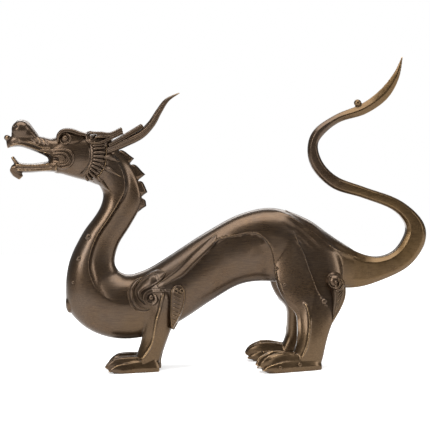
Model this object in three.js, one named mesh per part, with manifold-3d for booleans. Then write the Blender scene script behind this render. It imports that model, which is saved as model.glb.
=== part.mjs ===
// A walking dragon, cast in one piece: an arched neck, a slung body on four short legs and a
// tail that turns back over the body in an S and ends in a leaf blade.
// Millimetres, +Z up. The dragon faces -X, its left side is -Y, and it stands on Z = 0.
// Every side profile is given as rows of numbers; a smooth curve runs through each column.
import * as THREE from "three";
import { mergeVertices } from "three/addons/utils/BufferGeometryUtils.js";
import Module from "manifold-3d";

const wasm = await Module();
wasm.setup();

// Driving sizes

const footOut = { fore: 4, hind: 13 }; // degrees that the toes turn outwards
const footLength = { fore: 49, hind: 60.5 };
const heel = { fore: [-56, 11.5], hind: [86.5, 29] }; // x and distance from the middle plane
const farHindShift = -2.5; // the far hind leg stands a little further forward
const farForeShift = 3; // and the far foreleg a little further back
const farFeatherDrop = 5; // its elbow feather hangs lower
const eyeRadius = 4.2;
const studRadius = 3;
const bronze = { color: 0x6a5240, roughness: 0.38, metalness: 0.9 };

// Neck, body and hips. Each row is one slice that stands square to the spine:
// back x, back z, belly x, belly z, half width, crease place from -1 (belly) to 1 (back),
// hollow behind the crease, hollow in front of it, squareness.
const trunkRows = [
  [-87, 197, -110, 178, 13, 0.5, 0.3, 0, 2.2],
  [-77, 186, -105, 167, 13.5, 0.4, 0.4, 0, 2.2],
  [-69.5, 168, -102, 159, 14, 0.15, 0.5, 0, 2.2],
  [-68, 150, -104, 149.5, 14.5, -0.2, 0.52, 0, 2.2],
  [-78, 131, -109.5, 140, 15, -0.28, 0.5, 0, 2.2],
  [-89, 114, -121.5, 124, 16.5, -0.25, 0.48, 0, 2.2],
  [-93, 99, -133.5, 100, 18.5, -0.14, 0.42, 0, 2.2],
  [-90.5, 91, -137.5, 75, 20, 0, 0.34, 0, 2.2],
  [-85.5, 87.5, -134.5, 55, 21, 0.08, 0.22, 0, 2.2],
  [-81, 86.5, -117, 37.5, 21.5, 0.1, 0.1, 0, 2.2],
  [-74, 87.5, -92, 29, 21.5, 0.1, 0.04, 0, 2.2],
  [-60, 93, -64, 31, 21.5, 0.2, 0, 0, 2.2],
  [-38, 106, -35, 43.5, 21, 0.35, 0, 0.04, 2.2],
  [-10, 123, -6, 61.5, 20, 0.48, 0, 0.1, 2.2],
  [20, 138, 20, 75, 20, 0.5, 0, 0.13, 2.2],
  [50, 143, 46, 77, 21, 0.3, 0, 0.06, 2.3],
  [80, 133, 75, 72, 20, 0.2, 0.05, 0, 2.5],
  [103, 116.5, 101, 69.5, 16, 0.4, 0.05, 0, 2.8],
  [124, 102.5, 122, 70, 11.5, 0.5, 0, 0, 3.2],
];

// Tail. Each row: inner x, inner z, outer x, outer z, half width, share of the section
// that its bevels take; the blade at the end is nearly a diamond.
const tailRows = [
  [100, 118.5, 97, 72, 13, 0.25],
  [124, 102.5, 122, 69.5, 11.5, 0.22],
  [144, 96.5, 146, 75, 9.5, 0.2],
  [160.5, 102, 172.5, 87.5, 8.5, 0.2],
  [170.5, 117, 187.6, 108, 8, 0.2],
  [169, 128.5, 186, 128, 7.5, 0.2],
  [157, 140, 165.5, 147.5, 7, 0.2],
  [131, 150.5, 134, 160, 6.5, 0.2],
  [105, 159.5, 110, 169.5, 6, 0.2],
  [87.5, 177, 97, 182, 5.6, 0.22],
  [83, 196, 92, 197, 5.2, 0.25],
  [89.5, 213, 97, 207.5, 4.8, 0.3],
  [109, 226, 112.5, 219, 4.2, 0.38],
  [132, 235, 136.5, 226, 3.6, 0.45],
  [149, 247, 156, 239, 3, 0.45],
  [162, 262, 167, 257, 2, 0.45],
  [169.8, 277, 171, 276.6, 0.5, 0.45],
];

// Skull, from the corner of the mouth to the nape: top x, top z, bottom x, bottom z, half width.
const skullRows = [
  [-152, 210, -151, 194, 8],
  [-145, 210.5, -146, 180.5, 12],
  [-136, 213, -138, 178, 14.5],
  [-126, 215, -127, 174.5, 16],
  [-115, 215, -115, 171, 16.5],
  [-103, 213, -105, 167.5, 15.5],
  [-91, 207, -98, 172, 12],
  [-86, 196, -91, 183, 6],
];

// Upper jaw, from the lip to the skull: top x, top z, bottom x, bottom z, half width.
const upperJawRows = [
  [-187, 208.5, -186, 202, 3.5],
  [-182, 213, -182, 203, 7],
  [-174, 215, -174.5, 203.2, 9],
  [-165, 213.5, -165, 200, 9.5],
  [-156, 212, -156, 196, 9.5],
  [-147, 210, -148, 192, 11],
  [-138, 210, -140, 190, 13],
];

// Lower jaw, from the chin to the skull: top x, top z, bottom x, bottom z, half width.
const lowerJawRows = [
  [-182.5, 187, -184.5, 183, 3.5],
  [-177, 189, -177, 180.5, 6],
  [-166, 188, -166, 180, 8],
  [-155, 189, -155, 180.5, 10],
  [-142, 191, -143, 180, 13],
];

// Forelegs and hind legs, in level slices. Each row: z, front x, rear x, ridge place from
// 0 (front) to 1 (rear), distances from the middle plane of the inner face, the leg's
// middle and the outer ridge.
const foreLegRows = [
  [88, -64, -52, 0.55, 6, 10, 17],
  [78, -67, -46, 0.6, 6, 12, 23],
  [66, -67.5, -41.5, 0.6, 6, 14, 25.5],
  [52, -68.5, -43, 0.55, 6, 15.5, 25],
  [38, -69.5, -45, 0.48, 5.5, 15, 24],
  [26, -72, -49.5, 0.45, 4.5, 13.5, 22.5],
  [14, -76, -54, 0.42, 4, 12.5, 21.5],
  [4, -78, -56.5, 0.4, 4, 12, 19.5],
];
const hindLegRows = [
  [130, 56, 84, 0.5, 4, 8, 12],
  [118, 44, 96, 0.5, 5, 12, 20],
  [104, 47, 106, 0.48, 6, 14, 25],
  [88, 48.5, 110, 0.5, 7, 17, 29],
  [74, 51, 110, 0.54, 9, 21, 32.5],
  [62, 56.5, 108, 0.5, 12, 25, 36],
  [50, 66, 103, 0.35, 17, 29, 39],
  [36, 67, 96.5, 0.32, 21, 32, 41.5],
  [24, 66, 92.5, 0.3, 23, 33.5, 43],
  [12, 61, 89.5, 0.28, 23.5, 34, 43.5],
  [4, 59, 87, 0.3, 24, 34, 42],
];

// Feet, in slices from the heel to the claws: place as a share of the foot's length, height
// and half width in mm, and how deep the grooves between the toes are as a share of both.
const footRows = {
  fore: [
    [0, 9, 6, 0],
    [0.12, 13, 8, 0],
    [0.42, 14.5, 9, 0.05],
    [0.62, 14.5, 10, 0.15],
    [0.8, 13.5, 10.5, 0.25],
    [0.93, 9.5, 9.5, 0.35],
    [1, 5, 7.5, 0.3],
  ],
  hind: [
    [0, 9, 7, 0],
    [0.12, 14, 10, 0],
    [0.42, 16.5, 11.5, 0.05],
    [0.62, 18.5, 12.5, 0.15],
    [0.8, 17, 13, 0.25],
    [0.93, 12.5, 12, 0.3],
    [0.99, 7, 9.5, 0.25],
  ],
};
const toes = 4;
const toeSpread = 0.07; // how far the outer toes fall back, as a share of the foot's length

// Smooth curve through rows of numbers, at place t from 0 to the last row
function rowAt(rows, t) {
  const last = rows.length - 1;
  const i = Math.min(Math.floor(t), last - 1);
  const f = t - i;
  const a = rows[Math.max(i - 1, 0)];
  const b = rows[i];
  const c = rows[i + 1];
  const d = rows[Math.min(i + 2, last)];
  return b.map((_, k) => {
    const rise = (c[k] - a[k]) / 2;
    const nextRise = (d[k] - b[k]) / 2;
    const turn = 3 * (c[k] - b[k]) - 2 * rise - nextRise;
    const twist = 2 * (b[k] - c[k]) + rise + nextRise;
    return b[k] + f * (rise + f * (turn + f * twist));
  });
}

function sampled(rows, steps) {
  const count = (rows.length - 1) * steps;
  return Array.from({ length: count + 1 }, (_, i) => rowAt(rows, i / steps));
}

// Closed skin over rings of points; each end is closed by a fan to its middle
function skin(rings) {
  const sides = rings[0].length;
  const positions = rings.flat();
  const index = [];
  for (let i = 0; i < rings.length - 1; i += 1) {
    for (let j = 0; j < sides; j += 1) {
      const a = i * sides + j;
      const b = i * sides + ((j + 1) % sides);
      index.push(a, b, a + sides, b, b + sides, a + sides);
    }
  }
  [0, rings.length - 1].forEach((i) => {
    const middle = [0, 1, 2].map((k) => rings[i].reduce((sum, p) => sum + p[k], 0) / sides);
    const hub = positions.length;
    positions.push(middle);
    for (let j = 0; j < sides; j += 1) {
      const a = i * sides + j;
      const b = i * sides + ((j + 1) % sides);
      index.push(...(i === 0 ? [b, a, hub] : [a, b, hub]));
    }
  });
  const geometry = new THREE.BufferGeometry();
  geometry.setAttribute("position", new THREE.Float32BufferAttribute(positions.flat(), 3));
  geometry.setIndex(index);
  return outward(geometry);
}

// Turns the faces outwards if they point in
function outward(geometry) {
  const p = geometry.attributes.position;
  const index = geometry.index.array;
  const a = new THREE.Vector3();
  const b = new THREE.Vector3();
  const c = new THREE.Vector3();
  let volume = 0;
  for (let i = 0; i < index.length; i += 3) {
    a.fromBufferAttribute(p, index[i]);
    b.fromBufferAttribute(p, index[i + 1]);
    c.fromBufferAttribute(p, index[i + 2]);
    volume += a.dot(b.cross(c));
  }
  if (volume < 0) {
    for (let i = 0; i < index.length; i += 3) {
      [index[i], index[i + 1]] = [index[i + 1], index[i]];
    }
  }
  return geometry;
}

const power = (value, exponent) => Math.sign(value) * Math.abs(value) ** exponent;

// Ring in the plane of a back point and a belly point, with a crease down each side
const creaseWidth = 0.25; // share of the half height over which a hollow falls away
function bodyRing(row, halfSides) {
  const [backX, backZ, bellyX, bellyZ, halfWidth, crease, hollowBack, hollowBelly, square] = row;
  const bend = Math.acos(-crease);
  const before = Math.round(halfSides * 0.5);
  const ring = [];
  for (let j = 0; j < 2 * halfSides; j += 1) {
    const side = j <= halfSides ? 1 : -1;
    const k = j <= halfSides ? j : 2 * halfSides - j;
    const angle = k <= before
      ? (bend * k) / before
      : bend + ((Math.PI - bend) * (k - before)) / (halfSides - before);
    const along = -power(Math.cos(angle), 2 / square);
    const gap = -Math.cos(angle) - crease;
    const hollow = gap > 0 ? hollowBack : hollowBelly;
    const sink = 1 - hollow * (1 - Math.exp(-Math.abs(gap) / creaseWidth));
    const out = power(Math.sin(angle), 2 / square) * sink * halfWidth * side;
    const share = (along + 1) / 2;
    ring.push([bellyX + (backX - bellyX) * share, out, bellyZ + (backZ - bellyZ) * share]);
  }
  return ring;
}

const trunk = () => skin(sampled(trunkRows, 2).map((row) => bodyRing(row, 7)));

function plainRing(row, halfSides, square = 2) {
  return bodyRing([...row.slice(0, 5), 0, 0, 0, square], halfSides);
}

// Tail slice: a flat-sided bar with its four edges bevelled
function tailRing([innerX, innerZ, outerX, outerZ, halfWidth, bevel]) {
  const corners = [[bevel, 1], [1 - bevel, 1], [1, 1 - 2 * bevel], [1, 2 * bevel - 1],
    [1 - bevel, -1], [bevel, -1], [0, 2 * bevel - 1], [0, 1 - 2 * bevel]];
  return corners.map(([share, side]) => [
    outerX + (innerX - outerX) * share,
    halfWidth * side,
    outerZ + (innerZ - outerZ) * share,
  ]);
}

const tail = () => skin(sampled(tailRows, 3).map(tailRing));

// Strap, horn or feather along a path: x, z, distance from the middle plane,
// half width across the path, half thickness.
function strap(rows, steps, sides, turn = 0) {
  const path = sampled(rows, steps);
  const rings = path.map((row, i) => {
    const [x, z, y, wide, thick] = row;
    const before = path[Math.max(i - 1, 0)];
    const after = path[Math.min(i + 1, path.length - 1)];
    const run = Math.hypot(after[0] - before[0], after[1] - before[1]);
    const nx = -(after[1] - before[1]) / run;
    const nz = (after[0] - before[0]) / run;
    return Array.from({ length: sides }, (_, j) => {
      const angle = (2 * Math.PI * j) / sides + turn;
      const across = wide * Math.cos(angle);
      return [x + nx * across, -y + thick * Math.sin(angle), z + nz * across];
    });
  });
  return skin(rings);
}

function ball(x, y, z, rx, ry = rx, rz = rx, sides = 7) {
  const geometry = new THREE.SphereGeometry(1, sides, Math.round(sides * 0.6));
  geometry.scale(rx, ry, rz);
  geometry.translate(x, -y, z);
  geometry.deleteAttribute("normal");
  geometry.deleteAttribute("uv");
  return mergeVertices(geometry, 1e-4);
}

// One level slice of a leg; u runs from the front to the rear along the outer face and back
const legRoundness = 0.55; // 0 is a square bar and 1 a sharp ridge
function legRing(row, shift, halfSides) {
  const [z, front, rear, ridge, inner, middle, outer] = row;
  const ring = [];
  for (let j = 0; j < 2 * halfSides; j += 1) {
    const outerFace = j <= halfSides;
    const k = outerFace ? j : 2 * halfSides - j;
    const swing = k / halfSides;
    const u = (1 - Math.cos(Math.PI * swing)) / 2;
    const place = u < 0.5 ? u * 2 * ridge : ridge + (u - 0.5) * 2 * (1 - ridge);
    const rise = outerFace ? Math.min(u, 1 - u) * 2 : Math.sin(Math.PI * swing);
    const y = middle + (outerFace ? outer - middle : inner - middle) * rise ** legRoundness;
    ring.push([front + (rear - front) * place + shift, -y, z]);
  }
  return ring;
}

const leg = (rows, shift) => skin(rows.map((row) => legRing(row, shift, 6)));

// Foot with a flat sole and fluted toes, built pointing to -X from the heel
const footArch = 0.72; // how far the foot's sides fall below its top
const clawCut = 0.3; // how far the grooves run back between the claws
const soleTuck = 0.9; // the sole is this much narrower than the foot
function foot(kind) {
  const long = footLength[kind];
  const lines = 2 * toes;
  const rings = footRows[kind].map(([place, high, wide, groove]) => {
    const back = Array.from({ length: lines + 1 }, (_, i) => {
      const across = -Math.cos((Math.PI * i) / lines);
      const cut = i % 2 === 0 ? 1 - groove : 1;
      const arch = (1 - across ** 4 * footArch) * cut;
      const fall = place ** 2 * (toeSpread * across ** 2 + (1 - cut) * clawCut);
      return [-long * (place - fall), wide * across, high * arch];
    });
    const [start, end] = [back[0], back[lines]].map(([x, y]) => [x, y * soleTuck, 0]);
    return [start, ...back, end];
  });
  return skin(rings);
}

function placedFoot(kind, shift) {
  const [x, y] = heel[kind];
  const turn = THREE.MathUtils.degToRad(footOut[kind]);
  const place = new THREE.Matrix4().makeTranslation(x + shift, -y, 0);
  place.multiply(new THREE.Matrix4().makeRotationZ(turn));
  return foot(kind).applyMatrix4(place);
}

// Feather that hangs behind a leg: z, front x, rear x, inner and outer distance
function hangingFeather(rows, shift, drop = 0) {
  const rings = rows.map(([z, front, rear, inner, outer]) => {
    const middle = (inner + outer) / 2;
    return [[front, middle], [(front + rear) / 2, outer], [rear, outer - 1.5],
      [rear, inner + 1.5], [(front + rear) / 2, inner]].map(([x, y]) => [x + shift, -y, z - drop]);
  });
  return skin(rings);
}

const elbowFeatherRows = [
  [79, -44, -37, 12, 20],
  [72, -45, -31.5, 12, 23],
  [60, -44.5, -31.5, 12, 24],
  [50, -44.5, -36, 13, 23.5],
  [37, -44.5, -42, 15, 21],
];
const hockFeatherRows = [
  [86, 98, 107, 18, 27],
  [76, 96, 111, 20, 32],
  [66, 95, 111.5, 23, 35],
  [54, 95, 106.5, 26, 38],
  [42, 93, 99.5, 30, 40],
];

const foreSide = (shift, drop) => [
  leg(foreLegRows, shift),
  placedFoot("fore", shift),
  hangingFeather(elbowFeatherRows, shift, drop),
  ball(-38 + shift, 18.5, 72.5, 6, 6, 6.5),
];

const hindSide = (shift) => [
  leg(hindLegRows, shift),
  placedFoot("hind", shift),
  hangingFeather(hockFeatherRows, shift),
  ball(100 + shift, 27, 79, 7, 6, 7),
  ball(91 + shift, 34, 60, studRadius, 3, studRadius, 6),
];

// What each flank carries: the shoulder scroll, the plume and the studs.
// The scroll's bands follow the round of the chest.
const chest = { z: 62, halfHeight: 33, halfWidth: 21 };
const chestSide = (z) => chest.halfWidth * Math.sqrt(1 - ((z - chest.z) / chest.halfHeight) ** 2);
const boss = { x: -61, z: 68.5, radius: 4.6 };

// Band of a scroll round the boss; angles in degrees from +X, and radii at its two ends
function scrollBand(from, to, startRadius, endRadius, wide) {
  const points = 8;
  return Array.from({ length: points }, (_, i) => {
    const share = i / (points - 1);
    const angle = THREE.MathUtils.degToRad(from + (to - from) * share);
    const radius = startRadius + (endRadius - startRadius) * share;
    const z = boss.z + radius * Math.sin(angle);
    const taper = Math.sin(Math.PI * (0.15 + 0.7 * share));
    return [boss.x + radius * Math.cos(angle), z, chestSide(z) + 1, wide * taper, 3 * taper];
  });
}

const plumeRows = [
  [-58, 76, 22, 3.5, 4],
  [-47, 81, 23.5, 4.5, 4],
  [-35, 88, 23.5, 5.2, 4],
  [-21, 99, 21.5, 5.2, 4],
  [-9, 112, 17.5, 4, 4],
  [-1, 121.5, 13.5, 0.8, 2],
];

const flankSide = () => [
  ball(boss.x, 22.5, boss.z, boss.radius, 4.5, boss.radius),
  strap(scrollBand(30, 300, 7.6, 6.6, 1.3), 1, 4),
  strap(scrollBand(105, 262, 13, 11.5, 2.6), 1, 4),
  strap(scrollBand(68, 248, 21, 17, 3), 1, 4),
  strap(plumeRows, 1, 4),
  ball(-116, 13.5, 122, studRadius, 3, studRadius, 6),
  ball(-125, 14, 103, 2.4, 2.6, 2.4, 6),
  ball(52, 20.5, 90, 2.2, 3, 2.2, 6),
];

// What each side of the head carries
const hornRows = [
  [-102, 197, 9, 4, 4.2],
  [-84, 204.3, 13, 3.9, 3.8],
  [-68, 211.3, 16, 3.5, 3.2],
  [-57.5, 221, 17.5, 2.9, 2.7],
  [-50.5, 232, 18, 2.2, 2.1],
  [-43, 242, 18, 1.5, 1.5],
  [-32.5, 248, 17.5, 0.4, 0.4],
];
const earRows = [
  [-115, 207, 13.5, 2, 2],
  [-108, 209, 15, 4.3, 3.5],
  [-98, 209, 15.5, 3.6, 3.2],
  [-90, 211, 16, 2.6, 2.6],
  [-83, 215, 16.5, 2.3, 1.8],
];
const hornSpurRows = [
  [-90, 206.5, 12, 2.4, 2.5],
  [-78, 212, 13.5, 2.3, 2.2],
  [-65, 219.5, 15, 2, 1.8],
];
const browRows = [
  [-140.5, 206, 12, 1, 1],
  [-138, 212, 12, 2.2, 3],
  [-131.5, 216, 11.5, 2.2, 4],
  [-123, 214.5, 12.5, 2.4, 3],
  [-114, 212, 14, 1, 1.5],
];
const cheekScroll = (radius, wide) => Array.from({ length: 5 }, (_, i) => {
  const angle = THREE.MathUtils.degToRad(120 - 55 * i);
  return [-137.5 + radius * Math.cos(angle), 191 + radius * Math.sin(angle), 14, wide, 3];
});
const maneRows = [
  [[-104, 189, 14, 3, 3], [-96, 187.5, 14.5, 3.2, 2.6], [-88.5, 185, 13, 0.6, 1]],
  [[-106, 182, 13.5, 3, 3], [-97, 179, 14, 3.4, 2.6], [-87, 175.5, 12.5, 0.6, 1]],
  [[-108, 172, 11, 2.6, 3], [-102, 167.5, 11.5, 3, 2.6], [-96, 162, 11.5, 0.6, 1]],
];

// Ruff behind the cheek: a curved band, ribbed across by its rising and falling thickness
function ruff() {
  const ribs = 9;
  const [rib, gap] = [3.4, 2];
  const path = [[-106, 205, 14, 6.5], [-106, 190, 16, 6.5], [-109, 179, 14.5, 7],
    [-115, 171.5, 9, 7]];
  const rows = Array.from({ length: 2 * ribs + 1 }, (_, i) => {
    const [x, z, y, wide] = rowAt(path, ((path.length - 1) * i) / (2 * ribs));
    return [x, z, y, wide, i % 2 === 1 ? rib : gap];
  });
  return strap(rows, 1, 4, Math.PI / 4);
}

const headSide = () => [
  strap(hornRows, 2, 4),
  strap(earRows, 1, 4, Math.PI / 4),
  strap(hornSpurRows, 1, 4, Math.PI / 4),
  strap(browRows, 1, 4),
  ball(-111.5, 16.5, 210, 3.6, 3, 3.6),
  ball(-134.5, 13.2, 209.5, eyeRadius, eyeRadius, eyeRadius, 8),
  strap(cheekScroll(8.5, 1.8), 1, 4),
  ball(-138.5, 13, 190.5, 3.5, 4, 3.5),
  ball(-175, 7, 219.5, 7.3, 6, 8),
  ...maneRows.map((rows) => strap(rows, 1, 4)),
  ruff(),
];

// What lies on the middle plane of the head and neck
const noseRidge = () => skin([
  [-182, 217, -182, 207, 6],
  [-177, 226.5, -177, 205, 9],
  [-168.5, 226.5, -170, 204, 9.5],
  [-162.5, 219.5, -165, 204, 8.5],
  [-157, 211.5, -159, 203, 6],
].map((row) => plainRing(row, 6)));

const crestTips = [[-73.5, 190.5], [-64, 176], [-62.5, 160], [-64, 148]];
const crestRoots = [[-87, 196], [-77, 185], [-70, 171], [-67, 156], [-73, 141]];

// Each crest tooth is a thin wedge between two roots, with its tip swept down
function crestTooth(i) {
  const [upX, upZ] = crestRoots[i];
  const [downX, downZ] = crestRoots[i + 1];
  const [tipX, tipZ] = crestTips[i];
  const inset = 10;
  const outline = [[upX - inset, upZ - 4], [upX, upZ], [tipX - 1, tipZ + 1.2], [tipX, tipZ - 0.5],
    [downX, downZ + 1], [downX - inset, downZ + 2]];
  const half = [3.6, 2.6, 0.7, 0.7, 2.6, 3.6];
  const rings = [-1, 1].map((side) => outline.map(([x, z], k) => [x, side * half[k], z]));
  return skin(rings);
}

const lipCurlRows = [[-171, 185, 0, 2, 5], [-178, 188.5, 0, 2, 4.5], [-182, 194.5, 0, 1.5, 2.5]];
const chinRows = [[-184, 183, 0, 1.5, 3], [-179.5, 180.5, 0, 4, 4], [-174.5, 175.5, 0, 2.6, 2.4]];

const middle = () => [
  trunk(),
  tail(),
  skin(skullRows.map((row) => plainRing(row, 7, 2.3))),
  skin(upperJawRows.map((row) => plainRing(row, 6, 2.6))),
  skin(lowerJawRows.map((row) => plainRing(row, 5, 2.8))),
  noseRidge(),
  strap(lipCurlRows, 1, 6),
  strap(chinRows, 1, 6),
  ball(-186, 0, 211.5, 2.9, 5, 2.8, 8),
  ball(129, 0, 236, 3.4, 3.4, 3.4, 8),
  ...crestTips.map((_, i) => crestTooth(i)),
];

const mirrorY = new THREE.Matrix4().makeScale(1, -1, 1);
const mirrored = (geometry) => outward(geometry.clone().applyMatrix4(mirrorY));

// One solid from all the forms
function solid(geometry) {
  const clean = mergeVertices(geometry, 1e-5);
  return new wasm.Manifold(new wasm.Mesh({
    numProp: 3,
    vertProperties: new Float32Array(clean.attributes.position.array),
    triVerts: new Uint32Array(clean.index.array),
  }));
}

function joined(geometries) {
  return geometries.map(solid).reduce((whole, next) => whole.add(next));
}

function cast() {
  const forms = [
    ...middle(),
    ...headSide(), ...headSide().map(mirrored),
    ...flankSide(), ...flankSide().map(mirrored),
    ...foreSide(0, 0), ...foreSide(farForeShift, farFeatherDrop).map(mirrored),
    ...hindSide(0), ...hindSide(farHindShift).map(mirrored),
  ];
  const { vertProperties, triVerts } = joined(forms).getMesh();
  const geometry = new THREE.BufferGeometry();
  geometry.setAttribute("position", new THREE.BufferAttribute(vertProperties, 3));
  geometry.setIndex(new THREE.BufferAttribute(triVerts, 1));
  return geometry;
}

const dragon = new THREE.Mesh(cast(), new THREE.MeshStandardMaterial(bronze));
dragon.name = "dragon";

const group = new THREE.Group();
group.add(dragon);
export default group;
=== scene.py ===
import math

import bpy
import numpy as np
from mathutils import Matrix, Vector
from mathutils.bvhtree import BVHTree


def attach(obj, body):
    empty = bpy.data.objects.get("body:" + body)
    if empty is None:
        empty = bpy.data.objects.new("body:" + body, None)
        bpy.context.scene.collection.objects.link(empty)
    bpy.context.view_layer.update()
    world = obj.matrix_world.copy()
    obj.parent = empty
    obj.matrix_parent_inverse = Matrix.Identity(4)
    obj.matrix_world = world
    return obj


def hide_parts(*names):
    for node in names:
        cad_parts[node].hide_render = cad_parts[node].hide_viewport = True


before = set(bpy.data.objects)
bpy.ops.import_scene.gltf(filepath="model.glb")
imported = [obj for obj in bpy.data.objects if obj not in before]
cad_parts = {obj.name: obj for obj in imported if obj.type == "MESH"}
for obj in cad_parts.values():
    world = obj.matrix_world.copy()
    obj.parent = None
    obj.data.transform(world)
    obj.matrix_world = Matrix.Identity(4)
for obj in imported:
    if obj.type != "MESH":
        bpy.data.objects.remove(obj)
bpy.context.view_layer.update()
mm = 0.001  # the rows below are in millimetres
print("frame loaded")


# Camera: a long lens, almost square to the left side and a little above the middle
cameraSet = {
    "target": (-2, 0, 138), "distance": 1620, "azimuth": -4, "elevation": 3.3, "roll": 1.2,
    "lens": 150.7, "sensor": 36, "clip": (0.05, 20),
}


def placeCamera(s):
    azimuth, elevation, roll = (math.radians(s[k]) for k in ("azimuth", "elevation", "roll"))
    level = math.cos(elevation)
    back = Vector((math.sin(azimuth) * level, -math.cos(azimuth) * level, math.sin(elevation)))
    right = Vector((0, 0, 1)).cross(back).normalized()
    up = back.cross(right)
    rolledRight = right * math.cos(roll) - up * math.sin(roll)
    rolledUp = up * math.cos(roll) + right * math.sin(roll)
    data = bpy.data.cameras.new("camera")
    data.lens = s["lens"]
    data.sensor_width = s["sensor"]
    data.clip_start, data.clip_end = s["clip"]
    camera = bpy.data.objects.new("camera", data)
    spot = (Vector(s["target"]) + back * s["distance"]) * mm
    turn = Matrix((rolledRight, rolledUp, back)).transposed().to_4x4()
    camera.matrix_world = Matrix.Translation(spot) @ turn
    bpy.context.collection.objects.link(camera)
    bpy.context.scene.camera = camera


placeCamera(cameraSet)


# Curves and skins: a row is read at any place t between the given rows, along a smooth curve
def rowAt(rows, t):
    rows = np.asarray(rows, float)
    last = len(rows) - 1
    t = np.asarray(t, float)
    i = np.minimum(np.floor(t).astype(int), last - 1)
    f = (t - i)[..., None]
    a, b, c, d = rows[np.maximum(i - 1, 0)], rows[i], rows[i + 1], rows[np.minimum(i + 2, last)]
    rise, nextRise = (c - a) / 2, (d - b) / 2
    turn = 3 * (c - b) - 2 * rise - nextRise
    twist = 2 * (b - c) + rise + nextRise
    return b + f * (rise + f * (turn + f * twist))


def sampled(rows, steps):
    count = (len(rows) - 1) * steps
    return rowAt(rows, np.arange(count + 1) / steps)


# The way that a path of x and z runs, with length 1
def directions(path):
    run = np.gradient(path[:, :2], axis=0)
    return run / np.linalg.norm(run, axis=1)[:, None]


# A closed shell through rings of points, with a hub point at each end
def skin(rings):
    rings = np.asarray(rings, float)
    count, sides, _ = rings.shape
    points = np.concatenate([rings.reshape(-1, 3), rings[[0, -1]].mean(axis=1)])
    i, j = np.meshgrid(np.arange(count - 1), np.arange(sides), indexing="ij")
    a = (i * sides + j).ravel()
    b = (i * sides + (j + 1) % sides).ravel()
    faces = np.stack([a, b, b + sides, a + sides], 1).tolist()
    firstHub, lastHub = count * sides, count * sides + 1
    end = (count - 1) * sides
    for k in range(sides):
        nextK = (k + 1) % sides
        faces.append([nextK, k, firstHub])
        faces.append([end + k, end + nextK, lastHub])
    return points, faces


def mirrored(shell):
    points, faces = shell
    return points * [1, -1, 1], [f[::-1] for f in faces]


def power(value, exponent):
    return np.sign(value) * np.abs(value) ** exponent


creaseWidth = 0.14  # how soon the hollows beside the crease reach their depth


def bodyRing(row, halfSides):
    backX, backZ, bellyX, bellyZ, halfWidth, crease, hollowBack, hollowBelly, square = row
    bend = math.acos(-crease)
    before = round(halfSides * 0.5)
    j = np.arange(2 * halfSides)
    k = np.where(j <= halfSides, j, 2 * halfSides - j)
    side = np.where(j <= halfSides, 1, -1)
    angle = np.where(k <= before, bend * k / before,
                     bend + (math.pi - bend) * (k - before) / (halfSides - before))
    along = -power(np.cos(angle), 2 / square)
    gap = -np.cos(angle) - crease
    sink = 1 - np.where(gap > 0, hollowBack, hollowBelly) * (1 - np.exp(-np.abs(gap) / creaseWidth))
    out = power(np.sin(angle), 2 / square) * sink * halfWidth * side
    share = (along + 1) / 2
    return np.stack([bellyX + (backX - bellyX) * share, out, bellyZ + (backZ - bellyZ) * share], 1)


def plainSkin(rows, halfSides, square):
    return skin([bodyRing([*row[:5], 0, 0, 0, square], halfSides) for row in sampled(rows, 6)])


# A strip along x and z, at a distance from the middle: x, z, distance, half width, half thickness
def strap(rows, steps=6, sides=16, square=2.0):
    path = sampled(rows, steps)
    run = directions(path)
    angle = 2 * math.pi * np.arange(sides) / sides
    across = path[:, 3:4] * power(np.cos(angle), 2 / square)
    out = path[:, 4:5] * power(np.sin(angle), 2 / square)
    x = path[:, 0:1] - run[:, 1:2] * across
    z = path[:, 1:2] + run[:, 0:1] * across
    y = -path[:, 2:3] + out
    return skin(np.stack([x, y, z], 2))


ballSet = {"sides": 24, "poleGap": 0.05}


def ball(x, y, z, rx, ry=None, rz=None):
    ry = rx if ry is None else ry
    rz = rx if rz is None else rz
    sides, pole = ballSet["sides"], math.pi / 2 - ballSet["poleGap"]
    angle = 2 * math.pi * np.arange(sides) / sides
    rings = []
    for lift in np.linspace(-pole, pole, sides // 2):
        reach = math.cos(lift)
        rings.append(np.stack([
            x + rx * reach * np.cos(angle), -y + ry * reach * np.sin(angle),
            np.full(sides, z + rz * math.sin(lift)),
        ], 1))
    return skin(rings)


# Neck, body and hips: back x, back z, belly x, belly z, half width, crease place,
# hollow behind the crease, hollow in front of it, squareness
trunkRows = [
    [-87, 197, -110, 178, 13, 0.5, 0.3, 0, 2.2],
    [-77, 186, -105, 167, 13.5, 0.4, 0.4, 0, 2.2],
    [-69.5, 168, -102, 159, 14, 0.15, 0.5, 0, 2.2],
    [-68, 150, -104, 149.5, 14.5, -0.2, 0.52, 0, 2.2],
    [-78, 131, -109.5, 140, 15, -0.28, 0.5, 0, 2.2],
    [-89, 114, -121.5, 124, 16.5, -0.25, 0.48, 0, 2.2],
    [-93, 99, -133.5, 100, 18.5, -0.14, 0.42, 0, 2.2],
    [-90.5, 91, -137.5, 75, 20, 0, 0.34, 0, 2.2],
    [-85.5, 87.5, -134.5, 55, 21, 0.08, 0.22, 0, 2.2],
    [-81, 86.5, -117, 37.5, 21.5, 0.1, 0.1, 0, 2.2],
    [-74, 87.5, -92, 29, 21.5, 0.1, 0.04, 0, 2.2],
    [-60, 93, -64, 31, 21.5, 0.2, 0, 0, 2.2],
    [-38, 106, -35, 43.5, 21, 0.35, 0, 0.04, 2.2],
    [-10, 123, -6, 61.5, 20, 0.48, 0, 0.1, 2.2],
    [20, 138, 20, 75, 20, 0.5, 0, 0.13, 2.2],
    [50, 143, 46, 77, 21, 0.3, 0, 0.06, 2.3],
    [80, 133, 75, 72, 20, 0.2, 0.05, 0, 2.5],
    [103, 116.5, 101, 69.5, 16, 0.4, 0.05, 0, 2.8],
    [124, 102.5, 122, 70, 11.5, 0.5, 0, 0, 3.2],
]

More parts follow.
